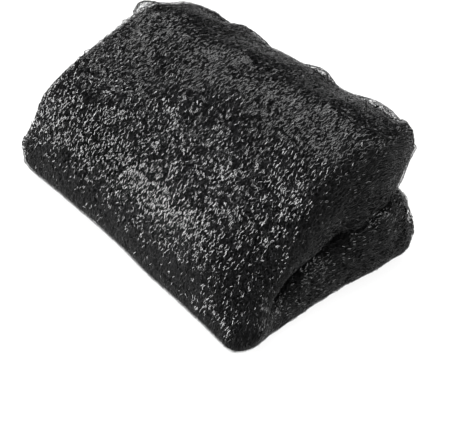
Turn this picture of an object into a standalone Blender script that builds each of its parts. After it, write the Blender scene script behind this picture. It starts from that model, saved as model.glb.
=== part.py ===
"""Shade cloth: one black knitted net, folded back and forth into a strip and the strip folded in half.

The strip is a stack of plies. Seen from the far end to the near one, the cloth runs to and fro: at the
near end every turn lies round the next, and at the far end each turn joins two neighbours, so the near
end is one round, closed lobe and the far end shows small turns and two loose edges. The strip is then
bent over on itself along the front. That makes an upper and a lower lobe with a crease between them,
open at the back, where the plies end. X runs along the pack, near end at +X; Y runs from the front bend
to the back; the pack stands on Z = 0. All sizes are in metres.
"""

import math
from collections import namedtuple

import bmesh
import bpy

# Driving dimensions
PLIES = 14
SHEET_THICK = 0.0016
STRIP_LENGTH = 0.300
PACK_DEPTH = 0.232
MIDDLE_X = -0.0016
MIDDLE_Y = 0.1190

# How finely the sheet is divided along the strip; the way round the bend has its own column below
SPANS_IN_A_RUN = 4
SPANS_IN_A_FAR_TURN = 3
LEAST_SPANS_IN_A_NEAR_TURN = 4
MORE_SPANS_IN_THE_WIDEST_TURN = 4

# How far the turns reach past the ends of their runs, and how uneven the folds are
NEAR_TURN_REACH = 0.022
FAR_TURN_REACH = 0.002
FAR_TURN_SPREAD = 0.0045
LOOSE_EDGE_SET_BACK = 0.004
PLY_END_SPREAD = 0.0035
LUMP_HEIGHT = 0.0022
LUMP_LENGTH = 0.085
LUMP_DEPTH = 0.070
LUMPS_START_AT = 0.060
PLY_ENDS_SHARE = 0.05
PRESSED_FLAT_BELOW = 0.0001

# The strip's way round the bend, from the upper lobe's back end to the lower one's. Outer is the middle
# of the outermost ply and inner that of the innermost one; far and near are the strip's two ends in X;
# spans is the number of steps on to the next row.
PathRow = namedtuple("PathRow", "along outer_y outer_z inner_y inner_z far_x near_x spans")
PATH = (
    PathRow(0.00, 0.2320, 0.1340, 0.2280, 0.1040, -0.1490, 0.1340, 1),
    PathRow(0.05, 0.2210, 0.1580, 0.2140, 0.0930, -0.1520, 0.1400, 2),
    PathRow(0.14, 0.1760, 0.1685, 0.1820, 0.0830, -0.1550, 0.1485, 1),
    PathRow(0.24, 0.1350, 0.1580, 0.1400, 0.0710, -0.1550, 0.1495, 1),
    PathRow(0.33, 0.0820, 0.1300, 0.1000, 0.0590, -0.1570, 0.1500, 2),
    PathRow(0.41, 0.0370, 0.0960, 0.0720, 0.0490, -0.1590, 0.1490, 2),
    PathRow(0.48, 0.0065, 0.0500, 0.0560, 0.0415, -0.1590, 0.1495, 2),
    PathRow(0.53, 0.0015, 0.0220, 0.0520, 0.0365, -0.1570, 0.1500, 2),
    PathRow(0.58, 0.0150, 0.0030, 0.0560, 0.0335, -0.1500, 0.1470, 1),
    PathRow(0.67, 0.0600, 0.0008, 0.0800, 0.0465, -0.1490, 0.1480, 2),
    PathRow(0.78, 0.1150, 0.0008, 0.1200, 0.0615, -0.1480, 0.1510, 2),
    PathRow(0.90, 0.1750, 0.0008, 0.1780, 0.0790, -0.1480, 0.1590, 1),
    PathRow(0.96, 0.2080, 0.0050, 0.2060, 0.0850, -0.1480, 0.1600, 1),
    PathRow(1.00, 0.2210, 0.0200, 0.2190, 0.0740, -0.1480, 0.1500, 0),
)

# How that way changes along the pack: the front and the back move in Y, the height is multiplied.
LengthRow = namedtuple("LengthRow", "along front_shift back_shift middle_height back_height")
LENGTH = (
    LengthRow(-0.150, 0.000, -0.006, 0.89, 0.63),
    LengthRow(-0.075, 0.004, 0.001, 0.96, 0.67),
    LengthRow(0.000, 0.006, 0.001, 1.02, 0.76),
    LengthRow(0.075, 0.006, 0.001, 1.06, 0.85),
    LengthRow(0.150, 0.006, -0.003, 1.09, 0.96),
)
BACK_HEIGHT_POWER = 1.5

CLOTH_COLOUR = (0.018, 0.018, 0.020, 1.0)
CLOTH_ROUGHNESS = 0.5


def clear_scene():
    for item in list(bpy.data.objects):
        bpy.data.objects.remove(item, do_unlink=True)


def rise(start, end, column):
    return (end[column] - start[column]) / (end[0] - start[0])


def slope_at(rows, index, column):
    """The curve's slope at one row, level where the column turns back, so it never overshoots."""
    before = rise(rows[max(index - 1, 0)], rows[max(index, 1)], column)
    after = rise(rows[min(index, len(rows) - 2)], rows[min(index + 1, len(rows) - 1)], column)
    return 2 * before * after / (before + after) if before * after > 0 else 0.0


def smooth_row(rows, place):
    """All columns at a place between the rows, on a smooth curve through them."""
    place = min(max(place, rows[0][0]), rows[-1][0])
    index = max(i for i, row in enumerate(rows[:-1]) if row[0] <= place)
    start, end = rows[index], rows[index + 1]
    span = end[0] - start[0]
    f = (place - start[0]) / span
    values = [place]
    for column in range(1, len(start)):
        values.append(
            (2 * f**3 - 3 * f**2 + 1) * start[column]
            + (f**3 - 2 * f**2 + f) * span * slope_at(rows, index, column)
            + (3 * f**2 - 2 * f**3) * end[column]
            + (f**3 - f**2) * span * slope_at(rows, index + 1, column)
        )
    return type(start)(*values)


def between(start, end, share):
    return start + (end - start) * share


def ply_order():
    """The plies in the order in which the cloth passes them, counted inwards from the outermost.

    It crosses from the outermost to the innermost, on to that one's neighbour, back across, and so on.
    """
    order = []
    for nest in range((PLIES + 1) // 2):
        opposite = PLIES - 1 - nest
        pair = (nest, opposite) if nest % 2 == 0 else (opposite, nest)
        order += pair if nest != opposite else (nest,)
    return order


def far_end(ply):
    """Where a ply's far turn or loose edge lies, a little uneven from one fold to the next."""
    pair = (ply + 1) // 2
    return -0.5 * STRIP_LENGTH + FAR_TURN_SPREAD * math.sin(2.4 * pair + 0.6)


def turn(edge, start, end, reach, spans):
    """The inner points of a turn from one depth to the next, as half an ellipse past its edge."""
    points = []
    for step in range(1, spans):
        angle = math.pi * step / spans
        depth = between(start, end, 0.5 - 0.5 * math.cos(angle))
        points.append((edge + reach * math.sin(angle), depth))
    return points


def strip_line():
    """The cloth's way through the strip, as (place along the pack, depth from 0 to 1)."""
    near_edge = 0.5 * STRIP_LENGTH - NEAR_TURN_REACH
    order = ply_order()
    points = []
    for index, ply in enumerate(order):
        depth = ply / (PLIES - 1)
        loose = index in (0, len(order) - 1)
        far_edge = far_end(ply) + (LOOSE_EDGE_SET_BACK if loose else FAR_TURN_REACH)
        run = [
            (between(far_edge, near_edge, step / SPANS_IN_A_RUN), depth)
            for step in range(SPANS_IN_A_RUN + 1)
        ]
        points += run if index % 2 == 0 else run[::-1]
        if index == len(order) - 1:
            break
        following = order[index + 1] / (PLIES - 1)
        if index % 2 == 0:
            width = abs(following - depth)
            spans = LEAST_SPANS_IN_A_NEAR_TURN + round(MORE_SPANS_IN_THE_WIDEST_TURN * width)
            points += turn(near_edge, depth, following, NEAR_TURN_REACH * width, spans)
        else:
            points += turn(far_edge, depth, following, -FAR_TURN_REACH, SPANS_IN_A_FAR_TURN)
    return points


def path_steps():
    """The places along the bent strip at which the sheet is divided."""
    steps = []
    for row, after in zip(PATH, PATH[1:]):
        steps += [between(row.along, after.along, step / row.spans) for step in range(row.spans)]
    return steps + [PATH[-1].along]


def lumps(x, y):
    """Soft unevenness of the pack's top."""
    along = math.sin(2 * math.pi * x / LUMP_LENGTH + 1.1)
    across = math.cos(2 * math.pi * y / LUMP_DEPTH + 0.4 + 9 * x)
    return LUMP_HEIGHT * along * across


def folded(along_pack, depth, along_path):
    """The place in space of a point of the strip."""
    way = smooth_row(PATH, along_path)
    form = smooth_row(LENGTH, along_pack)
    x = between(way.far_x, way.near_x, along_pack / STRIP_LENGTH + 0.5)
    y = between(way.outer_y, way.inner_y, depth)
    z = between(way.outer_z, way.inner_z, depth)
    back = min(max(y / PACK_DEPTH, 0.0), 1.0)
    behind = max(2 * back - 1, 0.0) ** BACK_HEIGHT_POWER
    height = between(1.0, form.middle_height, min(2 * back, 1.0))
    height += (form.back_height - form.middle_height) * behind
    lifted = min(max(z / LUMPS_START_AT - 1, 0.0), 1.0)
    at_an_end = max(1 - min(along_path, 1 - along_path) / PLY_ENDS_SHARE, 0.0)
    uneven = PLY_END_SPREAD * at_an_end * math.sin(11 * depth + 23 * along_pack + 2 * along_path)
    y += form.front_shift * (1 - back) + form.back_shift * back + uneven
    floor = 0.5 * SHEET_THICK
    z = floor + (z - floor) * height + lumps(x, y) * lifted * (1 - depth)
    return x - MIDDLE_X, y - MIDDLE_Y, z


def folded_sheet(name):
    """One sheet laid through all its folds, then given its thickness."""
    line = strip_line()
    steps = path_steps()
    sheet = bmesh.new()
    bmesh.ops.create_grid(sheet, x_segments=len(line) - 1, y_segments=len(steps) - 1, size=0.5)
    for vertex in sheet.verts:
        along_pack, depth = line[round((vertex.co.x + 0.5) * (len(line) - 1))]
        along_path = steps[round((vertex.co.y + 0.5) * (len(steps) - 1))]
        vertex.co = folded(along_pack, depth, along_path)
    mesh = bpy.data.meshes.new(name)
    sheet.to_mesh(mesh)
    sheet.free()
    mesh.shade_smooth()
    cloth = bpy.data.objects.new(name, mesh)
    wall = cloth.modifiers.new("Cloth thickness", "SOLIDIFY")
    wall.thickness = SHEET_THICK
    wall.offset = 0.0
    return cloth


def press_flat(cloth):
    """Makes the thickness part of the mesh, and presses the underside flat where it all but lies flat."""
    graph = bpy.context.evaluated_depsgraph_get()
    mesh = bpy.data.meshes.new_from_object(cloth.evaluated_get(graph))
    mesh.name = cloth.name
    cloth.modifiers.clear()
    cloth.data = mesh
    for vertex in mesh.vertices:
        if vertex.co.z < PRESSED_FLAT_BELOW:
            vertex.co.z = 0.0


def net_material():
    material = bpy.data.materials.new("Black net")
    material.use_nodes = True
    shader = material.node_tree.nodes["Principled BSDF"]
    shader.inputs["Base Color"].default_value = CLOTH_COLOUR
    shader.inputs["Roughness"].default_value = CLOTH_ROUGHNESS
    shader.inputs["Metallic"].default_value = 0.0
    return material


def main():
    clear_scene()
    parts = bpy.data.collections.new("Shade cloth")
    bpy.context.scene.collection.children.link(parts)
    cloth = folded_sheet("folded_cloth")
    cloth.data.materials.append(net_material())
    parts.objects.link(cloth)
    press_flat(cloth)


main()
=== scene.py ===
# %% [markdown]
# # A folded shade cloth
# The real thing is one light net, knitted from flat black plastic tape. It is folded to and fro into a
# strip, and the strip is bent in half along the front. This lesson puts the net on the folds of the packed
# solid: first a thin sheet on every ply, then the tape of the knit over all that shows.

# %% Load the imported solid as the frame
import math
from collections import namedtuple

import bmesh
import bpy
import numpy as np
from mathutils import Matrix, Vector


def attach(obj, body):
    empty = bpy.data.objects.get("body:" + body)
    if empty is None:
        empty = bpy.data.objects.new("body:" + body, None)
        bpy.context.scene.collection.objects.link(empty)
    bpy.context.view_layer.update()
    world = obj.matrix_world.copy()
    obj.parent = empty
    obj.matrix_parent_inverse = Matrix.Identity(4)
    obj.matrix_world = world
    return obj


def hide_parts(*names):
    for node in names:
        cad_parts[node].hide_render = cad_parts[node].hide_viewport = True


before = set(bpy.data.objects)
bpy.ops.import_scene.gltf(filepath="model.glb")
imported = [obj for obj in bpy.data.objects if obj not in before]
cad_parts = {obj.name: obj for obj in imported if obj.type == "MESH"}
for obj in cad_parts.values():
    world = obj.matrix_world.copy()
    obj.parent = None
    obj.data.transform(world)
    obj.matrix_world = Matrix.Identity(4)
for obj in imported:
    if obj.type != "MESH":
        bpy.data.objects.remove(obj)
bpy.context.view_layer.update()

# %% [markdown]
# ## The camera
# A product photo like this is taken with a long lens from well above. The camera is placed by its angle
# round the pack and above it, at the distance at which near and far edges have the photo's proportions.

# %% Place the camera
VIEW_AZIMUTH = math.radians(49.4)
VIEW_ELEVATION = math.radians(48.1)
VIEW_DISTANCE = 1.5
VIEW_TARGET = Vector((0.0016, -0.009, 0.070))
AIM_RIGHT = 0.0112
AIM_DOWN = 0.0455
LENS_MM = 125.1

back = Vector((
    math.sin(VIEW_AZIMUTH) * math.cos(VIEW_ELEVATION),
    -math.cos(VIEW_AZIMUTH) * math.cos(VIEW_ELEVATION),
    math.sin(VIEW_ELEVATION),
))
right = Vector((math.cos(VIEW_AZIMUTH), math.sin(VIEW_AZIMUTH), 0.0))
up = back.cross(right)
camera = bpy.data.objects.new("camera", bpy.data.cameras.new("camera"))
camera.data.lens = LENS_MM
camera.location = VIEW_TARGET + back * VIEW_DISTANCE
aim = VIEW_TARGET + right * AIM_RIGHT - up * AIM_DOWN
camera.rotation_euler = (camera.location - aim).to_track_quat("Z", "Y").to_euler()
bpy.context.scene.collection.objects.link(camera)
bpy.context.scene.camera = camera
print("camera at", [round(v, 3) for v in camera.location])

# %% [markdown]
# ## The folds
# The solid was drawn from two short tables: the strip's way round its bend, and how that way changes along
# the pack. The same tables are written here, so that the thin cloth has the same folds. Numpy works out
# all points of a table at once, which is what makes a fine net quick to lay.

# %% Write the fold tables
PLIES = 14
STRIP_LENGTH = 0.300
PACK_DEPTH = 0.232
MIDDLE_X = -0.0016
MIDDLE_Y = 0.1190
PLY_THICK = 0.0016
NEAR_TURN_REACH = 0.022
FAR_TURN_REACH = 0.002
FAR_TURN_SPREAD = 0.0045
LOOSE_EDGE_SET_BACK = 0.004
PLY_END_SPREAD = 0.0035
PLY_ENDS_SHARE = 0.05
LUMP_HEIGHT = 0.0022
LUMP_LENGTH = 0.085
LUMP_DEPTH = 0.070
LUMPS_START_AT = 0.060
BACK_HEIGHT_POWER = 1.5

PathRow = namedtuple("PathRow", "along outer_y outer_z inner_y inner_z far_x near_x")
PATH = (
    PathRow(0.00, 0.2320, 0.1340, 0.2280, 0.1040, -0.1490, 0.1340),
    PathRow(0.05, 0.2210, 0.1580, 0.2140, 0.0930, -0.1520, 0.1400),
    PathRow(0.14, 0.1760, 0.1685, 0.1820, 0.0830, -0.1550, 0.1485),
    PathRow(0.24, 0.1350, 0.1580, 0.1400, 0.0710, -0.1550, 0.1495),
    PathRow(0.33, 0.0820, 0.1300, 0.1000, 0.0590, -0.1570, 0.1500),
    PathRow(0.41, 0.0370, 0.0960, 0.0720, 0.0490, -0.1590, 0.1490),
    PathRow(0.48, 0.0065, 0.0500, 0.0560, 0.0415, -0.1590, 0.1495),
    PathRow(0.53, 0.0015, 0.0220, 0.0520, 0.0365, -0.1570, 0.1500),
    PathRow(0.58, 0.0150, 0.0030, 0.0560, 0.0335, -0.1500, 0.1470),
    PathRow(0.67, 0.0600, 0.0008, 0.0800, 0.0465, -0.1490, 0.1480),
    PathRow(0.78, 0.1150, 0.0008, 0.1200, 0.0615, -0.1480, 0.1510),
    PathRow(0.90, 0.1750, 0.0008, 0.1780, 0.0790, -0.1480, 0.1590),
    PathRow(0.96, 0.2080, 0.0050, 0.2060, 0.0850, -0.1480, 0.1600),
    PathRow(1.00, 0.2210, 0.0200, 0.2190, 0.0740, -0.1480, 0.1500),
)
LengthRow = namedtuple("LengthRow", "along front_shift back_shift middle_height back_height")
LENGTH = (
    LengthRow(-0.150, 0.000, -0.006, 0.89, 0.63),
    LengthRow(-0.075, 0.004, 0.001, 0.96, 0.67),
    LengthRow(0.000, 0.006, 0.001, 1.02, 0.76),
    LengthRow(0.075, 0.006, 0.001, 1.06, 0.85),
    LengthRow(0.150, 0.006, -0.003, 1.09, 0.96),
)


def smooth_columns(rows, place):
    """Every column of a table at each place, on a smooth curve that never overshoots its rows."""
    table = np.array(rows)
    rise = np.diff(table, axis=0) / np.diff(table[:, :1], axis=0)
    before, after = np.vstack([rise[:1], rise]), np.vstack([rise, rise[-1:]])
    same_way = before * after > 0
    slope = np.where(same_way, 2 * before * after / np.where(same_way, before + after, 1.0), 0.0)
    place = np.clip(place, table[0, 0], table[-1, 0])
    index = np.clip(np.searchsorted(table[:, 0], place, side="right") - 1, 0, len(table) - 2)
    span = (table[index + 1, 0] - table[index, 0])[..., None]
    f = (place - table[index, 0])[..., None] / span
    values = (
        (2 * f**3 - 3 * f**2 + 1) * table[index]
        + (f**3 - 2 * f**2 + f) * span * slope[index]
        + (3 * f**2 - 2 * f**3) * table[index + 1]
        + (f**3 - f**2) * span * slope[index + 1]
    )
    return type(rows[0])(*np.moveaxis(values, -1, 0))


def between(start, end, share):
    return start + (end - start) * share


def folded(along_pack, depth, along_path):
    """The places in space of points of the strip, one row of x, y and z each."""
    way = smooth_columns(PATH, along_path)
    form = smooth_columns(LENGTH, along_pack)
    x = between(way.far_x, way.near_x, along_pack / STRIP_LENGTH + 0.5)
    y = between(way.outer_y, way.inner_y, depth)
    z = between(way.outer_z, way.inner_z, depth)
    behind = np.clip(y / PACK_DEPTH, 0.0, 1.0)
    height = between(1.0, form.middle_height, np.minimum(2 * behind, 1.0))
    height += (form.back_height - form.middle_height) * np.maximum(2 * behind - 1, 0.0) ** BACK_HEIGHT_POWER
    lifted = np.clip(z / LUMPS_START_AT - 1, 0.0, 1.0)
    at_an_end = np.maximum(1 - np.minimum(along_path, 1 - along_path) / PLY_ENDS_SHARE, 0.0)
    uneven = PLY_END_SPREAD * at_an_end * np.sin(11 * depth + 23 * along_pack + 2 * along_path)
    y = y + form.front_shift * (1 - behind) + form.back_shift * behind + uneven
    floor = 0.5 * PLY_THICK
    lump = np.sin(2 * np.pi * x / LUMP_LENGTH + 1.1) * np.cos(2 * np.pi * y / LUMP_DEPTH + 0.4 + 9 * x)
    z = floor + (z - floor) * height + LUMP_HEIGHT * lump * lifted * (1 - depth)
    return np.stack([x - MIDDLE_X, y - MIDDLE_Y, z], axis=-1)


top = folded(np.zeros(1), np.zeros(1), np.array([0.14]))[0]
print("the outermost ply at the middle of the pack's top:", top.round(4))

# %% [markdown]
# ## The way of the cloth
# Seen end on, the cloth crosses from the outermost ply to the innermost and back, so the outside of the
# pack is one unbroken stretch of it, from the loose edge over the top and round the near end into the
# crease. Places on the cloth are told by two lengths: across it, along this way, and down it, round the
# bend.

# %% Follow the cloth through all its plies
SPANS_IN_A_RUN = 14
SPANS_IN_A_FAR_TURN = 4
LEAST_SPANS_IN_A_NEAR_TURN = 5
MORE_SPANS_IN_THE_WIDEST_TURN = 11


def ply_order():
    """The plies in the order in which the cloth passes them, counted inwards from the outermost."""
    order = []
    for nest in range((PLIES + 1) // 2):
        opposite = PLIES - 1 - nest
        order += (nest, opposite) if nest % 2 == 0 else (opposite, nest)
    return order


def far_end(ply):
    """Where a ply's far turn or loose edge lies, a little uneven from one fold to the next."""
    return -0.5 * STRIP_LENGTH + FAR_TURN_SPREAD * math.sin(2.4 * ((ply + 1) // 2) + 0.6)


def turn(edge, start, end, reach, spans):
    """The inner points of a turn from one depth to the next, as half an ellipse past its edge."""
    angles = [math.pi * step / spans for step in range(1, spans)]
    return [(edge + reach * math.sin(a), between(start, end, 0.5 - 0.5 * math.cos(a))) for a in angles]


def strip_line():
    """The cloth's way as rows of place along the pack and depth, and the rows where the far turns lie."""
    near_edge = 0.5 * STRIP_LENGTH - NEAR_TURN_REACH
    order = ply_order()
    points, far_turns = [], []
    for index, ply in enumerate(order):
        depth = ply / (PLIES - 1)
        loose = index in (0, len(order) - 1)
        far_edge = far_end(ply) + (LOOSE_EDGE_SET_BACK if loose else FAR_TURN_REACH)
        run = [(between(far_edge, near_edge, s / SPANS_IN_A_RUN), depth) for s in range(SPANS_IN_A_RUN + 1)]
        points += run if index % 2 == 0 else run[::-1]
        if index == len(order) - 1:
            break
        following = order[index + 1] / (PLIES - 1)
        if index % 2 == 0:
            width = abs(following - depth)
            spans = LEAST_SPANS_IN_A_NEAR_TURN + round(MORE_SPANS_IN_THE_WIDEST_TURN * width)
            points += turn(near_edge, depth, following, NEAR_TURN_REACH * width, spans)
        else:
            far_turns.append(len(points) - 1 + SPANS_IN_A_FAR_TURN // 2)
            points += turn(far_edge, depth, following, -FAR_TURN_REACH, SPANS_IN_A_FAR_TURN)
    return np.array(points), far_turns


LINE, FAR_TURNS = strip_line()
PATH_STEPS = 96
STEPS = np.linspace(0.0, 1.0, PATH_STEPS + 1)
print(len(LINE), "points across the cloth,", len(STEPS), "down it, far turns at", FAR_TURNS)

# %% [markdown]
# A net that lies loose is never smooth. Two dozen sine waves in scattered directions make a soft
# relief that repeats nowhere, and the same numbers always give the same relief.

# %% Make soft relief from scattered waves
def relief(x, y, length, seed, waves=24):
    """Soft bumps about `length` long, mostly from -1 to 1, over any two coordinates."""
    draw = np.random.RandomState(seed)
    angle = draw.uniform(0, 2 * np.pi, waves)
    turns = 2 * np.pi / (length * draw.uniform(0.7, 1.6, waves))
    phase = draw.uniform(0, 2 * np.pi, waves)
    total = np.zeros(np.broadcast(x, y).shape)
    for a, k, p in zip(angle, turns, phase):
        total += np.sin(k * (x * math.cos(a) + y * math.sin(a)) + p)
    return total * math.sqrt(2 / waves) * 0.7


print("relief at three places:", relief(np.array([0.00, 0.01, 0.02]), 0.0, length=0.02, seed=1).round(2))

# %% [markdown]
# The near end is not one even round. Above the crease it slopes out and down, below it stands upright, and
# the crease opens only as a slit at the front and as a soft hollow in the middle. A table gives, for places
# on the way round the bend, how square the turns are outside and at the crease (1 is half an ellipse, less
# is squarer), how far they are pushed out there, and how far the innermost ply leans to close it.
# A shorter table does the same for the far end, where the folds stick out unevenly.

# %% Shape both ends
EndRow = namedtuple("EndRow", "along square_outside square_inside push_outside push_inside closing")
NEAR_END = (
    EndRow(0.00, 0.60, 0.35, 0.003, 0.000, 0.000),
    EndRow(0.07, 0.70, 0.28, 0.004, 0.002, 0.006),
    EndRow(0.14, 0.75, 0.24, 0.002, 0.003, 0.006),
    EndRow(0.20, 0.80, 0.26, 0.000, 0.003, 0.005),
    EndRow(0.27, 0.90, 0.60, -0.001, -0.006, 0.001),
    EndRow(0.33, 0.95, 0.60, -0.002, -0.009, 0.004),
    EndRow(0.39, 1.00, 0.70, -0.004, -0.014, 0.004),
    EndRow(0.44, 1.00, 0.90, -0.003, -0.016, 0.001),
    EndRow(0.48, 0.90, 0.90, 0.002, -0.014, 0.000),
    EndRow(0.52, 0.80, 0.70, 0.006, -0.002, 0.000),
    EndRow(0.57, 0.75, 0.50, 0.005, -0.001, 0.001),
    EndRow(0.63, 0.70, 0.40, 0.003, -0.006, 0.003),
    EndRow(0.70, 0.70, 0.35, 0.004, -0.004, 0.004),
    EndRow(0.77, 0.70, 0.60, 0.004, -0.004, 0.001),
    EndRow(0.83, 0.70, 0.30, 0.003, 0.000, 0.004),
    EndRow(0.90, 0.70, 0.30, 0.004, 0.001, 0.005),
    EndRow(0.96, 0.65, 0.45, 0.009, -0.010, 0.004),
    EndRow(1.00, 0.60, 0.60, 0.011, -0.011, 0.000),
)
FarRow = namedtuple("FarRow", "along push")
FAR_END = (
    FarRow(0.00, 0.000),
    FarRow(0.12, 0.002),
    FarRow(0.16, 0.003),
    FarRow(0.20, 0.002),
    FarRow(0.24, 0.003),
    FarRow(0.29, 0.004),
    FarRow(0.33, 0.004),
    FarRow(0.37, 0.009),
    FarRow(0.42, 0.011),
    FarRow(0.45, 0.007),
    FarRow(0.50, 0.012),
    FarRow(0.53, 0.012),
    FarRow(0.57, 0.001),
    FarRow(0.62, 0.000),
    FarRow(1.00, 0.000),
)
FAR_SHARE_FROM = 0.6


def near_share(along_pack):
    """Nothing in the far half of the pack, rising to 1 at the near end."""
    return np.clip(2 * along_pack / STRIP_LENGTH, 0.0, 1.0) ** 2


def far_share(along_pack):
    """Nothing until close to the far end, rising to 1 there."""
    return np.clip((-2 * along_pack / STRIP_LENGTH - FAR_SHARE_FROM) / (1 - FAR_SHARE_FROM), 0.0, 1.0) ** 2


def shaped_ends(along_pack, depth, along_path):
    """The place along the pack once both ends have their own shape."""
    row = smooth_columns(NEAR_END, along_path)
    start = 0.5 * STRIP_LENGTH - NEAR_TURN_REACH
    past = np.maximum(along_pack - start, 0.0) / NEAR_TURN_REACH
    width = np.maximum(np.hypot(2 * depth - 1, past), 1e-6)
    square = np.where(depth < 0.5, row.square_outside, row.square_inside)
    squared = np.where(past > 0, start + NEAR_TURN_REACH * width * (past / width) ** square, along_pack)
    pushed = squared + near_share(along_pack) * between(row.push_outside, row.push_inside, depth)
    return pushed - far_share(along_pack) * smooth_columns(FAR_END, along_path).push


print(len(NEAR_END), "rows shape the near end and", len(FAR_END), "the far end")

# %% [markdown]
# Loose cloth billows. Each row below is one soft bump or hollow of the outside: where along the pack and on
# the way round the bend it lies, how wide it is, and how high it stands or sinks. The plies below follow,
# less and less towards the crease, so that none is cut.

# %% Place the soft bumps and hollows
BumpRow = namedtuple("BumpRow", "along_pack along_path half_length half_width height")
BUMPS = (
    BumpRow(0.165, 0.42, 0.050, 0.095, -0.0420),
    BumpRow(0.150, 0.12, 0.030, 0.070, 0.0030),
    BumpRow(0.060, 0.545, 0.100, 0.030, 0.0012),
    BumpRow(0.140, 0.55, 0.022, 0.040, 0.0040),
    BumpRow(-0.105, 0.26, 0.034, 0.045, -0.0026),
    BumpRow(-0.095, 0.36, 0.026, 0.035, 0.0006),
    BumpRow(0.030, 0.42, 0.045, 0.032, 0.0028),
    BumpRow(0.085, 0.43, 0.026, 0.030, 0.0026),
    BumpRow(-0.020, 0.20, 0.035, 0.030, -0.0018),
    BumpRow(0.060, 0.28, 0.040, 0.028, -0.0016),
    BumpRow(0.100, 0.15, 0.030, 0.040, 0.0020),
    BumpRow(-0.050, 0.47, 0.030, 0.025, -0.0020),
    BumpRow(0.035, 0.53, 0.035, 0.030, 0.0016),
    BumpRow(0.115, 0.54, 0.030, 0.035, 0.0036),
    BumpRow(-0.122, 0.03, 0.011, 0.040, 0.0040),
    BumpRow(-0.103, 0.03, 0.009, 0.050, -0.0056),
    BumpRow(-0.083, 0.03, 0.011, 0.040, 0.0056),
    BumpRow(-0.054, 0.03, 0.014, 0.050, -0.0026),
    BumpRow(0.023, 0.03, 0.012, 0.050, -0.0010),
    BumpRow(0.060, 0.03, 0.012, 0.060, -0.0078),
    BumpRow(0.096, 0.03, 0.016, 0.050, -0.0004),
    BumpRow(0.126, 0.03, 0.009, 0.040, -0.0066),
    BumpRow(0.146, 0.05, 0.010, 0.050, 0.0020),
)
FADE_INWARDS = 1.3


def unit(vectors):
    return vectors / np.maximum(np.linalg.norm(vectors, axis=-1, keepdims=True), 1e-9)


def billowed(grid, along_pack, depth, along_path):
    """The grid of places with every bump and hollow added, across the thickness of the pack."""
    way = smooth_columns(PATH, along_path)
    apart_y, apart_z = way.outer_y - way.inner_y, way.outer_z - way.inner_z
    outwards = np.stack(np.broadcast_arrays(0.0, apart_y, apart_z), axis=-1)
    height = sum(
        bump.height
        * np.exp(-((along_pack - bump.along_pack) / bump.half_length) ** 2)
        * np.exp(-((along_path - bump.along_path) / bump.half_width) ** 2)
        for bump in BUMPS
    )
    inwards = smooth_columns(NEAR_END, along_path).closing * near_share(along_pack)
    return grid + unit(outwards) * (height * (1 - depth) ** FADE_INWARDS - inwards * depth**2)[..., None]


print(len(BUMPS), "bumps and hollows")

# %% [markdown]
# All points of the cloth are worked out at once, as one grid of places: across the cloth one way and down
# it the other. The lengths along two of its lines are the cloth's own measures, and its steps give the
# normals. Small wrinkles come last, and fade towards the ground, where the pack lies pressed flat.

# %% Lay out the cloth as one grid of places
pack_place, depth, path_place = LINE[:, 0][:, None], LINE[:, 1][:, None], STEPS[None, :]
pack_place = shaped_ends(pack_place, depth, path_place)
places = billowed(folded(pack_place, depth, path_place), pack_place, depth, path_place)


def lengths_along(points):
    """How far each point lies from the first, along the line through them."""
    return np.concatenate([[0.0], np.cumsum(np.linalg.norm(np.diff(points, axis=0), axis=1))])


REFERENCE_STEP = PATH_STEPS // 3
ACROSS = lengths_along(places[:, REFERENCE_STEP])
DOWN = lengths_along(places[len(LINE) // (2 * PLIES)])
CUT_ACROSS, CUT_DOWN = ACROSS[-1], DOWN[-1]
print(f"the cloth is {CUT_ACROSS:.3f} m across all its plies and {CUT_DOWN:.3f} m down the outer one")


def outward(grid):
    """The cloth's normals, on the side that faces out on the outermost ply."""
    return unit(np.cross(np.gradient(grid, axis=1), np.gradient(grid, axis=0)))


WRINKLE = 0.0004
WRINKLE_LENGTH = 0.026
WRINKLED_ABOVE = 0.010
sides = outward(places)
risen = 0.5 * (1 - np.cos(np.pi * np.clip(places[..., 2] / WRINKLED_ABOVE, 0, 1)))
wrinkles = WRINKLE * relief(ACROSS[:, None], DOWN[None, :], WRINKLE_LENGTH, seed=3) * risen
places = places + sides * wrinkles[..., None]
sides = outward(places)
print("cloth from", places.min((0, 1)).round(4), "to", places.max((0, 1)).round(4))

# %% [markdown]
# ## Shader maths as plain sums
# Materials below are written as sums on sockets. One small class wraps a socket, and each operator adds the
# Math node that it stands for, so a pattern reads like the formula of a curve.

# %% Wrap sockets so that sums make nodes
class Value:
    def __init__(self, shader, socket):
        self.shader, self.socket = shader, socket

    def maths(self, operation, *others, swapped=False):
        inputs = [self, *others]
        if swapped:
            inputs.reverse()
        return self.shader.add("ShaderNodeMath", dict(operation=operation), dict(enumerate(inputs)))

    def __add__(self, other):
        return self.maths("ADD", other)

    def __sub__(self, other):
        return self.maths("SUBTRACT", other)

    def __rsub__(self, other):
        return self.maths("SUBTRACT", other, swapped=True)

    def __mul__(self, other):
        return self.maths("MULTIPLY", other)

    def __truediv__(self, other):
        return self.maths("DIVIDE", other)

    def __abs__(self):
        return self.maths("ABSOLUTE")


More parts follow.
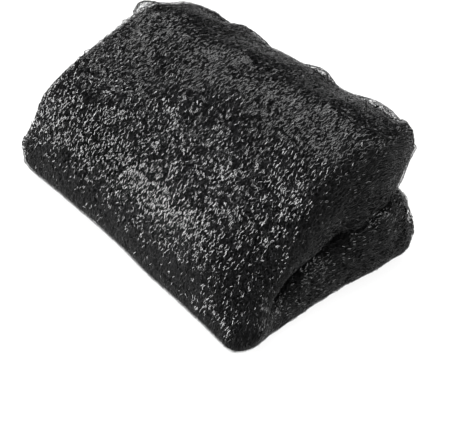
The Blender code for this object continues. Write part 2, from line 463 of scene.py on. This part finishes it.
class Shader:
    """A material's nodes: add() makes any node, sets it up first, then fills or links its sockets."""

    def __init__(self, name):
        self.material = bpy.data.materials.new(name)
        self.material.use_nodes = True
        self.tree = self.material.node_tree
        self.surface = self.tree.nodes["Principled BSDF"]

    def put(self, socket, value):
        if isinstance(value, Value):
            self.tree.links.new(value.socket, socket)
        else:
            socket.default_value = value

    def add(self, kind, settings=None, sockets=None, output=0):
        node = self.tree.nodes.new(kind)
        for key, value in (settings or {}).items():
            setattr(node, key, value)
        for key, value in (sockets or {}).items():
            self.put(node.inputs[key], value)
        return Value(self, node.outputs[output])

    def mixed(self, share, first, second):
        """One colour turning into another as share goes from 0 to 1."""
        return self.add(
            "ShaderNodeMix", dict(data_type="RGBA"), {0: share, 6: first, 7: second}, output=2
        )

    def finish(self, **sockets):
        for key, value in sockets.items():
            name = key.replace("_", " ").title().replace("Ior", "IOR")
            self.put(self.surface.inputs[name], value)
        return self.material


# %% [markdown]
# ## The finish of the sheet
# Deep in the pack the net lies in shade and is seen only as dark gaps between the upper tapes, with other
# tapes faintly below. So the sheet is nearly black and is given almost no shine, as painted shade, and a
# drawn knit of crossing tapes gives it paler lines and a relief.
# The pattern reads the cloth's own lengths, kept as a UV map in metres, and so it follows every fold.

# %% Draw the knit on the sheet
WALE = 0.0011
COURSE = 0.0026
WARP_SCALE = 90.0
WORN_SCALE = 700.0
DRAWN_WALE, DRAWN_COURSE = 1.3 * WALE, 1.5 * COURSE
LINE_SHIFT = 0.13
LINE_HALF_WIDTH = 0.22
LINE_HEIGHT = 0.0008
DEEP_BLACK = (0.0002, 0.0002, 0.0002, 1.0)
FAINT_TAPE = (0.0014, 0.0014, 0.0015, 1.0)


def sheet_finish():
    shader = Shader("Black net deep in the folds")
    lengths = shader.add("ShaderNodeUVMap", dict(uv_map="cloth lengths"))
    warp = shader.add("ShaderNodeTexNoise", {}, {"Vector": lengths, "Scale": WARP_SCALE}, output=1)
    scaled = shader.add("ShaderNodeVectorMath", dict(operation="SCALE"), {0: warp, "Scale": 2 * WALE})
    bent = shader.add("ShaderNodeVectorMath", dict(operation="ADD"), {0: lengths, 1: scaled})
    across, down = (shader.add("ShaderNodeSeparateXYZ", {}, {0: bent}, output=k) for k in (0, 1))
    column, row = across / DRAWN_WALE, down / DRAWN_COURSE
    swing = abs(row.maths("FRACT") * 2 - 1)
    lines = [place.maths("FRACT") for place in (column + swing, column - swing + LINE_SHIFT, column + 0.5)]
    masks = [1 - (abs(line - 0.5) / LINE_HALF_WIDTH).maths("MINIMUM", 1.0) for line in lines]
    tapes = masks[0].maths("MAXIMUM", masks[1]).maths("MAXIMUM", masks[2])
    worn = shader.add("ShaderNodeTexNoise", {}, {"Vector": lengths, "Scale": WORN_SCALE, "Detail": 1.0})
    raised = shader.add("ShaderNodeBump", {}, {"Strength": 0.9, "Distance": LINE_HEIGHT, "Height": tapes})
    return shader.finish(
        base_color=shader.mixed(tapes * worn, DEEP_BLACK, FAINT_TAPE),
        roughness=0.85,
        # Almost no shine: painted shade, so that the sheet reads as the dark gaps deep in the pack.
        specular_ior_level=0.02,
        normal=raised,
    )


print(f"one cell of the knit is {WALE * 1000:.1f} by {COURSE * 1000:.1f} mm")

# %% [markdown]
# ## The sheet
# The cloth itself is one sheet. A grid is laid through all the folds and given its thickness by Solidify,
# and it stands for the solid, which stays in place for collisions.

# %% Lay the sheet on the folds
SHEET_THICK = 0.0009


def thin_sheet(name):
    """The cloth as one grid with a thickness, and its own lengths kept as a UV map."""
    grid = bmesh.new()
    bmesh.ops.create_grid(grid, x_segments=len(LINE) - 1, y_segments=PATH_STEPS, size=0.5)
    lengths = grid.loops.layers.uv.new("cloth lengths")
    for vertex in grid.verts:
        column = round((vertex.co.x + 0.5) * (len(LINE) - 1))
        row = round((vertex.co.y + 0.5) * PATH_STEPS)
        vertex.co = places[column, row]
        for loop in vertex.link_loops:
            loop[lengths].uv = (ACROSS[column], DOWN[row])
    mesh = bpy.data.meshes.new(name)
    grid.to_mesh(mesh)
    grid.free()
    mesh.shade_smooth()
    mesh.materials.append(sheet_finish())
    cloth = bpy.data.objects.new(name, mesh)
    bpy.context.scene.collection.objects.link(cloth)
    wall = cloth.modifiers.new("thickness", "SOLIDIFY")
    wall.thickness = SHEET_THICK
    wall.offset = 0.0
    return cloth


cloth = thin_sheet("folded_net")
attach(cloth, "root")
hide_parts("folded_cloth")
print("sheet of", len(cloth.data.polygons), "faces, before its thickness")

# %% [markdown]
# ## Places on the cloth
# A piece of tape knows only how far across and down the cloth each of its points lies, and how high above
# it. This looks the place up on the grid. Past the cloth's loose edges it goes on straight, for the frayed
# rim, and nothing goes below the ground.

# %% Find a place on the cloth, in the air just above it
GROUND_GAP = 0.0002
ways_across = unit(np.gradient(places, axis=0))
ways_down = unit(np.gradient(places, axis=1))


def looked_up(grid, column, row):
    """The grid's value between its points."""
    i = np.clip(column.astype(int), 0, grid.shape[0] - 2)
    j = np.clip(row.astype(int), 0, grid.shape[1] - 2)
    f, g = (column - i)[..., None], (row - j)[..., None]
    near = grid[i, j] * (1 - g) + grid[i, j + 1] * g
    far = grid[i + 1, j] * (1 - g) + grid[i + 1, j + 1] * g
    return near * (1 - f) + far * f


def on_cloth(across, down, lift):
    """The places and the cloth's normals at lengths across and down it."""
    column = np.interp(across, ACROSS, np.arange(len(ACROSS)))
    row = np.interp(down, DOWN, np.arange(len(DOWN)))
    past_across = across - np.clip(across, 0.0, CUT_ACROSS)
    past_down = down - np.clip(down, 0.0, CUT_DOWN)
    normal = unit(looked_up(sides, column, row))
    place = looked_up(places, column, row) + normal * lift[..., None]
    place += looked_up(ways_across, column, row) * past_across[..., None]
    place += looked_up(ways_down, column, row) * past_down[..., None]
    return place, normal


centre = on_cloth(np.array([0.5 * CUT_ACROSS]), np.array([0.5 * CUT_DOWN]), np.array([0.001]))[0][0]
print("1 mm above the middle of the cloth:", centre.round(4))

# %% [markdown]
# ## The knit
# Shade cloth of this kind is knitted on a warp machine: chains run down the cloth every millimetre or so,
# and flat tape swings to and fro between them, so that the openings are small. A loose pack shows several
# layers of it at once, each at its own angle, which is why the short bright dashes show no order. So each
# layer here is a chain and tape knit of its own, with every stitch a little out of place.

# %% Knit one layer as rows of points
TAPE_WIDTH = 0.00026
CHAIN_SWING = 0.00025
TAPE_SWING = 0.45
PULL = 0.0004
PULL_LENGTH = 0.010
SCATTER = 0.00034


def knit(half_across, half_down, turned, seed, wale=WALE, course=COURSE):
    """Chains and tapes that cover a patch of this half size, as (across, down) from its middle."""
    draw = np.random.RandomState(seed)
    c, s = math.cos(turned), math.sin(turned)
    reach_across = half_across * c + half_down * abs(s)
    reach_down = half_across * abs(s) + half_down * c
    wales = np.arange(-reach_across, reach_across, wale)[:, None]
    courses = np.arange(-reach_down, reach_down, course)[None, :]
    side = np.where(np.arange(courses.shape[1]) % 2 == 0, 1.0, -1.0)[None, :]
    swings = (CHAIN_SWING * side, wale * (0.5 + TAPE_SWING * side))
    rows = [np.stack(np.broadcast_arrays(wales + swing, courses), axis=-1) for swing in swings]
    points = np.concatenate(rows)
    a, b = points[..., 0], points[..., 1]
    pull = np.stack([relief(a, b, PULL_LENGTH, seed + k) for k in (1, 2)], axis=-1)
    points = points + PULL * pull + draw.normal(0, SCATTER, points.shape)
    return points @ np.array([[c, s], [-s, c]])


print(len(knit(0.010, 0.010, turned=0.0, seed=1)), "chains and tapes in a patch 20 mm wide")

# %% [markdown]
# A tape is flat, and each stitch turns it, so every stretch between two stitches leans its own way. Where a
# stretch happens to face a lamp it shines, which gives the short straight dashes of light. So each stretch
# is a flat strip, a little longer than its span so that it laps over the next, and a whole layer of them is
# joined in one mesh from arrays. It has its own lean and a little of its neighbour's. Where the net lies
# slack its tapes lean more, and where it is drawn tight they lean less: a table gives these places, as
# lengths across the cloth and shares of the way round the bend.

# %% Turn rows of points into one mesh of flat tape
LEAN = 0.33
UNEVEN_LIFT = 0.00030
LAP = 0.00012
OWN_LEAN = 0.95
LooseRow = namedtuple("LooseRow", "across along_path half_across half_path more")
LOOSE = (
    LooseRow(0.040, 0.42, 0.050, 0.060, 0.70),
    LooseRow(0.090, 0.43, 0.045, 0.060, 0.80),
    LooseRow(0.130, 0.54, 0.150, 0.030, -0.60),
    LooseRow(0.278, 0.49, 0.045, 0.045, -0.60),
    LooseRow(0.240, 0.23, 0.060, 0.070, 0.45),
    LooseRow(0.280, 0.39, 0.030, 0.060, 0.60),
    LooseRow(0.268, 0.33, 0.034, 0.035, 0.80),
    LooseRow(0.180, 0.28, 0.030, 0.030, 0.60),
    LooseRow(0.430, 0.72, 0.090, 0.220, 0.90),
    LooseRow(0.385, 0.25, 0.060, 0.100, 0.80),
    LooseRow(0.150, 0.36, 0.100, 0.100, 0.25),
)


def looseness(across, down):
    """How much the tapes lean: over 1 where the net lies slack, under 1 where it is tight, else 1."""
    way = np.interp(down, DOWN, STEPS)
    return 1 + sum(
        place.more
        * np.exp(-((across - place.across) / place.half_across) ** 2)
        * np.exp(-((way - place.along_path) / place.half_path) ** 2)
        for place in LOOSE
    )


def tape_mesh(name, across, down, lift, kept, seed, side=1.0, width=TAPE_WIDTH):
    """Flat strips along the rows of points, wherever two neighbours are both kept."""
    draw = np.random.RandomState(seed)
    lift = lift + draw.normal(0, UNEVEN_LIFT, across.shape)
    place, normal = on_cloth(across, down, side * lift)
    whole = kept[:, :-1] & kept[:, 1:]
    start, end, normal = place[:, :-1][whole], place[:, 1:][whole], side * normal[:, :-1][whole]
    along = unit(end - start)
    flat = unit(np.cross(along, normal))
    twist = draw.normal(0, LEAN, whole.shape) * looseness(across, down)[:, :-1]
    shared = math.sqrt(1 - OWN_LEAN**2) * np.roll(twist, 1, axis=1)
    lean = (OWN_LEAN * twist + shared)[whole][:, None]
    edge = np.cos(lean) * flat + np.sin(lean) * normal
    edge *= 0.5 * width * draw.uniform(0.75, 1.15, (len(start), 1))
    start, end = start - LAP * along, end + LAP * along
    corners = np.stack([start - edge, start + edge, end + edge, end - edge], axis=1)
    corners[..., 2] = np.maximum(corners[..., 2], GROUND_GAP)
    count = len(corners)
    mesh = bpy.data.meshes.new(name)
    mesh.vertices.add(4 * count)
    mesh.vertices.foreach_set("co", corners.ravel())
    mesh.loops.add(4 * count)
    mesh.loops.foreach_set("vertex_index", np.arange(4 * count, dtype=np.int32))
    mesh.polygons.add(count)
    mesh.polygons.foreach_set("loop_start", np.arange(0, 4 * count, 4, dtype=np.int32))
    mesh.update(calc_edges=True)
    # A random number for each stretch, which the colour turns into grey: partly the tape's own tone, partly
    # painted glint.
    shade = mesh.attributes.new("shade", "FLOAT", "FACE")
    shade.data.foreach_set("value", draw.uniform(0, 1, count))
    return mesh


print(len(LOOSE), "places where the net lies slack or tight")

# %% [markdown]
# ## The finish of the tape
# The tape is black polyethylene, drawn flat and smooth: almost black from most sides, and bright where it
# mirrors a lamp. Some stretches are grey, kept as a number for each short stretch which the colour reads:
# partly the tape's own uneven tone, partly painted glints that show from every side. The outer net shines.
# The net that it covers is given almost no shine, as painted shade from the layers above it, and the net of
# the base, which mirrors little more than the floor, is given the most shine, as painted light.

# %% Give the tape its finish
TAPE_BLACK = (0.0002, 0.0002, 0.0002, 1.0)
# Grey of some stretches: partly the tape's own uneven tone, partly painted glints that show from every
# side.
TAPE_GREY_AND_PAINTED_GLINT = (0.010, 0.010, 0.0105, 1.0)
GREY_IS_RARE = 6.0
STREAK_SCALE = 1500.0
SMOOTHEST, ROUGHER = 0.05, 0.14


def tape_finish(name, shine):
    shader = Shader(name)
    shade = shader.add("ShaderNodeAttribute", dict(attribute_name="shade"), output=2)
    here = shader.add("ShaderNodeTexCoord", output=3)
    streaks = shader.add("ShaderNodeTexNoise", {}, {"Vector": here, "Scale": STREAK_SCALE, "Detail": 1.0})
    return shader.finish(
        base_color=shader.mixed(shade.maths("POWER", GREY_IS_RARE), TAPE_BLACK, TAPE_GREY_AND_PAINTED_GLINT),
        roughness=streaks * ROUGHER + SMOOTHEST,
        specular_ior_level=shine,
    )


TAPE = tape_finish("Black knitted tape", 0.19)
# The covered layers' tape is given almost no shine: painted shade, for the shadow of the layers above it.
SHADED_TAPE = tape_finish("Black knitted tape below", 0.008)
# The base layer's tape is given the most shine: painted light, as it mirrors little more than the floor.
BRIGHTENED_TAPE = tape_finish("Black knitted tape, painted brighter", 0.22)
print("finishes:", ", ".join(finish.name for finish in (TAPE, SHADED_TAPE, BRIGHTENED_TAPE)))

# %% [markdown]
# ## The layers of net
# The top and the front carry three layers, each higher and turned another way. The two lower ones stop at
# the near end, and the upper one goes on round it and some way into the crease. The base carries one
# layer. So do the crease's upper and lower sides near the back, and every far turn, where the cloth's two
# faces come outside by turns. The edges of the layers are a little uneven.

# %% Lay the layers of net
def piece_of_tape(mesh, finish=TAPE):
    """The object that carries a mesh of tape, riding on the frame's root."""
    piece = bpy.data.objects.new(mesh.name, mesh)
    mesh.materials.append(finish)
    bpy.context.scene.collection.objects.link(piece)
    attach(piece, "root")
    return piece


NetRow = namedtuple("NetRow", "name across_from across_to down_from down_to turned lift billow finish")
INTO_THE_CREASE = 0.050
FOOT_PLACE = 0.555
PAST_THE_BASE = 0.003
UPPER_SIDE_TO, LOWER_SIDE_FROM = 0.070, 0.090
near_edge = ACROSS[SPANS_IN_A_RUN]
crease = ACROSS[2 * SPANS_IN_A_RUN] + INTO_THE_CREASE
inner_end = ACROSS[FAR_TURNS[0]]
front_foot = float(np.interp(FOOT_PLACE, STEPS, DOWN))
end_of_base = CUT_DOWN + PAST_THE_BASE
lower_from = CUT_DOWN - LOWER_SIDE_FROM
NETS = (
    # The two lower layers carry the tape with painted shade.
    NetRow("net_low", 0.000, near_edge, -0.003, front_foot, 0.30, 0.0005, 0.0002, SHADED_TAPE),
    NetRow("net_mid", 0.000, near_edge + 0.010, -0.003, front_foot, -0.22, 0.0012, 0.0002, SHADED_TAPE),
    NetRow("net_top", -0.001, crease, -0.004, front_foot, 0.06, 0.0018, 0.0002, TAPE),
    # The base layer carries the tape with painted light.
    NetRow("net_under", 0.000, crease, front_foot, end_of_base, 0.10, 0.0005, 0.0003, BRIGHTENED_TAPE),
    NetRow("net_crease_upper", crease, inner_end, -0.003, UPPER_SIDE_TO, 0.08, 0.0006, 0.0003, TAPE),
    NetRow("net_crease_lower", crease, inner_end, lower_from, end_of_base, -0.06, 0.0006, 0.0003, TAPE),
)
FRAY = 0.002
FRAY_LENGTH = 0.030
BILLOW_LENGTH = 0.016


def net_mesh(row, seed, side=1.0):
    """One layer of net over a patch of the cloth, on the side that faces out or, with -1, on the other."""
    centre = np.array([row.across_from + row.across_to, row.down_from + row.down_to]) / 2
    half_across = 0.5 * (row.across_to - row.across_from) + FRAY
    half_down = 0.5 * (row.down_to - row.down_from) + FRAY
    points = knit(half_across, half_down, row.turned, seed) + centre
    across, down = points[..., 0], points[..., 1]
    fray = FRAY * relief(across, down, FRAY_LENGTH, seed + 5)
    kept = (across > row.across_from - np.maximum(fray, 0)) & (across < row.across_to)
    kept &= (down > row.down_from - fray) & (down < row.down_to + np.maximum(fray, 0))
    lift = row.lift + row.billow * (1 + relief(across, down, BILLOW_LENGTH, seed + 9))
    return tape_mesh(row.name, across, down, lift, kept, seed, side)


def joined(name, meshes):
    """One mesh out of many, with their shades kept."""
    whole = bmesh.new()
    for mesh in meshes:
        whole.from_mesh(mesh)
        bpy.data.meshes.remove(mesh)
    mesh = bpy.data.meshes.new(name)
    whole.to_mesh(mesh)
    whole.free()
    return mesh


nets = [piece_of_tape(net_mesh(row, 100 * k + 7), row.finish) for k, row in enumerate(NETS)]
FOLD_REACH = 0.009
folds = []
for k, column in enumerate(FAR_TURNS):
    patch = ACROSS[column] - FOLD_REACH, ACROSS[column] + FOLD_REACH, 0.0, CUT_DOWN
    row = NetRow(f"fold_{k}", *patch, 0.0, 0.0006, 0.0002, TAPE)
    folds.append(net_mesh(row, 301 + k, side=1.0 if k % 2 == 0 else -1.0))
nets.append(piece_of_tape(joined("net_folds", folds)))
for net in nets:
    print(net.name, 2 * len(net.data.polygons), "triangles")

# %% [markdown]
# The cloth ends in firm selvages, a few strands side by side. They lie uneven, so the rims look lumpy. Here
# and there the rim stands off the pack as an open pocket, one layer thick, through which the light falls,
# and at the far end it reaches past the loose edge in small flaps.

# %% Lay the rims and their open pockets
RIM_WIDTH = 0.00045
STRAND_GAP = 0.00045
STRAND_STEP = 0.0016
STRAND_WOBBLE = 0.0009
WOBBLE_LENGTH = 0.009
RimRow = namedtuple("RimRow", "across_from across_to down_from down_to strands lift")
RIMS = (
    RimRow(-0.0012, -0.0012, 0.000, CUT_DOWN, 7, 0.0012),
    RimRow(0.000, crease, -0.0030, -0.0030, 6, 0.0016),
    RimRow(0.000, crease, CUT_DOWN + 0.0016, CUT_DOWN + 0.0016, 6, 0.0008),
    RimRow(crease, CUT_ACROSS, 0.0002, 0.0002, 5, 0.0003),
    RimRow(crease, CUT_ACROSS, CUT_DOWN - 0.0002, CUT_DOWN - 0.0002, 5, 0.0003),
)
PocketRow = namedtuple("PocketRow", "across down half_across half_down height")
POCKETS = (
    PocketRow(0.174, 0.024, 0.022, 0.014, 0.0042),
    PocketRow(0.258, 0.024, 0.036, 0.013, 0.0048),
    PocketRow(0.044, 0.024, 0.014, 0.012, 0.0020),
    PocketRow(0.086, 0.022, 0.018, 0.012, 0.0022),
    PocketRow(0.300, 0.024, 0.012, 0.012, 0.0012),
    PocketRow(0.325, CUT_DOWN - 0.010, 0.016, 0.012, 0.0030),
)
FlapRow = namedtuple("FlapRow", "down half_down reach")
FLAPS = (
    FlapRow(float(np.interp(0.185, STEPS, DOWN)), 0.017, 0.0105),
    FlapRow(float(np.interp(0.49, STEPS, DOWN)), 0.015, 0.0060),
    FlapRow(float(np.interp(0.34, STEPS, DOWN)), 0.012, 0.0025),
    FlapRow(float(np.interp(0.42, STEPS, DOWN)), 0.010, 0.0030),
)
POCKET_CELL = 0.0025
POCKET_TURNED, FLAP_TURNED = 0.2, 0.1
POCKET_NET_REACH = 1.2
POCKET_LIFT, HEM_LIFT, FLAP_LIFT = 0.0016, 0.0022, 0.0010
HEM_STRANDS = 5


def rim_strands(row, seed):
    """Strands side by side along one edge of the cloth."""
    length = math.hypot(row.across_to - row.across_from, row.down_to - row.down_from)
    share = np.linspace(0, 1, int(length / STRAND_STEP))[None, :]
    sideways = (np.arange(row.strands)[:, None] - row.strands / 2) * STRAND_GAP
    wobble = sideways + STRAND_WOBBLE * relief(share * length, sideways * 3, WOBBLE_LENGTH, seed)
    across = between(row.across_from, row.across_to, share) + wobble * (row.across_from == row.across_to)
    down = between(row.down_from, row.down_to, share) + wobble * (row.down_from == row.down_to)
    return across, down, np.full(across.shape, row.lift), np.ones(across.shape, bool)


def pocket_net(row, seed):
    """One open layer that stands off the rim, highest in its middle."""
    size = 1.5 * row.half_across, 1.5 * row.half_down
    points = knit(*size, POCKET_TURNED, seed, POCKET_CELL, POCKET_CELL) + np.array([row.across, row.down])
    across, down = points[..., 0], points[..., 1]
    far = np.hypot((across - row.across) / row.half_across, (down - row.down) / row.half_down)
    lift = POCKET_LIFT + row.height * np.cos(0.5 * np.pi * np.clip(far, 0, 1))
    return across, down, lift, far < POCKET_NET_REACH


def pocket_hem(row, seed):
    """The rim's strands where they arch over that pocket."""
    steps = np.linspace(-1, 1, int(2 * row.half_across / STRAND_STEP))
    along, beside = np.meshgrid(steps, np.arange(HEM_STRANDS) * STRAND_GAP)
    wobble = beside + 0.5 * STRAND_WOBBLE * relief(along * 0.02, beside, WOBBLE_LENGTH, seed)
    lift = HEM_LIFT + row.height * np.cos(0.5 * np.pi * along)
    return row.across + row.half_across * along, row.down + wobble, lift, np.ones(along.shape, bool)


def flap_net(row, seed):
    """One open layer that reaches past the loose edge as half an oval."""
    size = 1.2 * row.half_down, 1.2 * row.half_down
    points = knit(*size, FLAP_TURNED, seed, POCKET_CELL, POCKET_CELL) + np.array([0.0, row.down])
    across, down = points[..., 0], points[..., 1]
    beyond = np.hypot(across / row.reach, (down - row.down) / row.half_down)
    return across, down, np.full(across.shape, FLAP_LIFT), (across < 0.001) & (beyond < 1.0)


def flap_hem(row, seed):
    """The rim's strands round that flap."""
    angles = np.linspace(-0.5 * np.pi, 0.5 * np.pi, int(3 * row.half_down / STRAND_STEP))
    angle, beside = np.meshgrid(angles, 1 - np.arange(HEM_STRANDS) * STRAND_GAP / row.reach)
    wobble = 0.5 * STRAND_WOBBLE * relief(angle * row.half_down, beside * 0.01, WOBBLE_LENGTH, seed)
    across = -row.reach * beside * np.cos(angle) + wobble
    down = row.down + row.half_down * beside * np.sin(angle)
    return across, down, np.full(across.shape, FLAP_LIFT), np.ones(across.shape, bool)


rim_meshes = []
for k, row in enumerate(RIMS):
    rim_meshes.append(tape_mesh(f"rim_{k}", *rim_strands(row, 61 + k), 71 + k, width=RIM_WIDTH))
shapes = [(shape, row) for row in POCKETS for shape in (pocket_net, pocket_hem)]
shapes += [(shape, row) for row in FLAPS for shape in (flap_net, flap_hem)]
for k, (shape, row) in enumerate(shapes):
    rim_meshes.append(tape_mesh(f"rim_net_{k}", *shape(row, 81 + k), 91 + k, width=2 * RIM_WIDTH))
nets.append(piece_of_tape(joined("net_rims", rim_meshes)))
print("rims and pockets", 2 * len(nets[-1].data.polygons), "triangles")

# %% [markdown]
# ## What the cloth was
# The modelled cloth is one cut of net, and the tapes ride with it on the frame's root.

# %% [markdown]
# ## The room and the light
# The photo is a cut-out on white. A floor like a light table, which glows and so shows next to no shadow,
# comes close to that. The key lamp stands low in front, to the left, so the front shoulder is the
# brightest place. The top lamp stands high and lights the level top. A weaker lamp lights the rounding
# above the near end, a faint low one the end itself, which stays darkest, and a wide one fills the rest.

# %% Make the floor and the lamps
floor_mesh = bpy.data.meshes.new("floor")
plane = bmesh.new()
bmesh.ops.create_grid(plane, x_segments=1, y_segments=1, size=4.0)
plane.to_mesh(floor_mesh)
plane.free()
floor = bpy.data.objects.new("floor", floor_mesh)
bpy.context.scene.collection.objects.link(floor)
floor_shader = Shader("Pale floor")
FLOOR_GREY, FLOOR_GLOW = (0.04, 0.04, 0.04, 1.0), 0.84
floor_mesh.materials.append(
    floor_shader.finish(
        base_color=FLOOR_GREY,
        roughness=0.8,
        emission_color=(1.0, 1.0, 1.0, 1.0),
        emission_strength=FLOOR_GLOW,
    )
)

LampRow = namedtuple("LampRow", "name x y z spread strength")
LAMPS = (
    LampRow("key_lamp", -0.60, -0.77, 0.23, 38.0, 28.0),
    LampRow("top_lamp", -0.30, 0.11, 0.94, 52.0, 15.0),
    LampRow("end_lamp", 0.94, 0.32, 0.17, 34.0, 1.2),
    LampRow("shoulder_lamp", 0.56, 0.43, 0.70, 44.0, 8.0),
    LampRow("sky_lamp", 0.40, -0.10, 1.00, 110.0, 1.4),
)
for row in LAMPS:
    light = bpy.data.lights.new(row.name, "SUN")
    light.angle = math.radians(row.spread)
    light.energy = row.strength
    lamp = bpy.data.objects.new(row.name, light)
    lamp.rotation_euler = Vector((row.x, row.y, row.z)).to_track_quat("Z", "Y").to_euler()
    bpy.context.scene.collection.objects.link(lamp)

ROOM_LIGHT = 0.05
world = bpy.data.worlds.new("soft room")
world.use_nodes = True
world.node_tree.nodes["Background"].inputs["Color"].default_value = (1.0, 1.0, 1.0, 1.0)
world.node_tree.nodes["Background"].inputs["Strength"].default_value = ROOM_LIGHT
bpy.context.scene.world = world
bpy.context.scene.view_settings.view_transform = "Standard"
print(len(LAMPS), "lamps and a soft room")
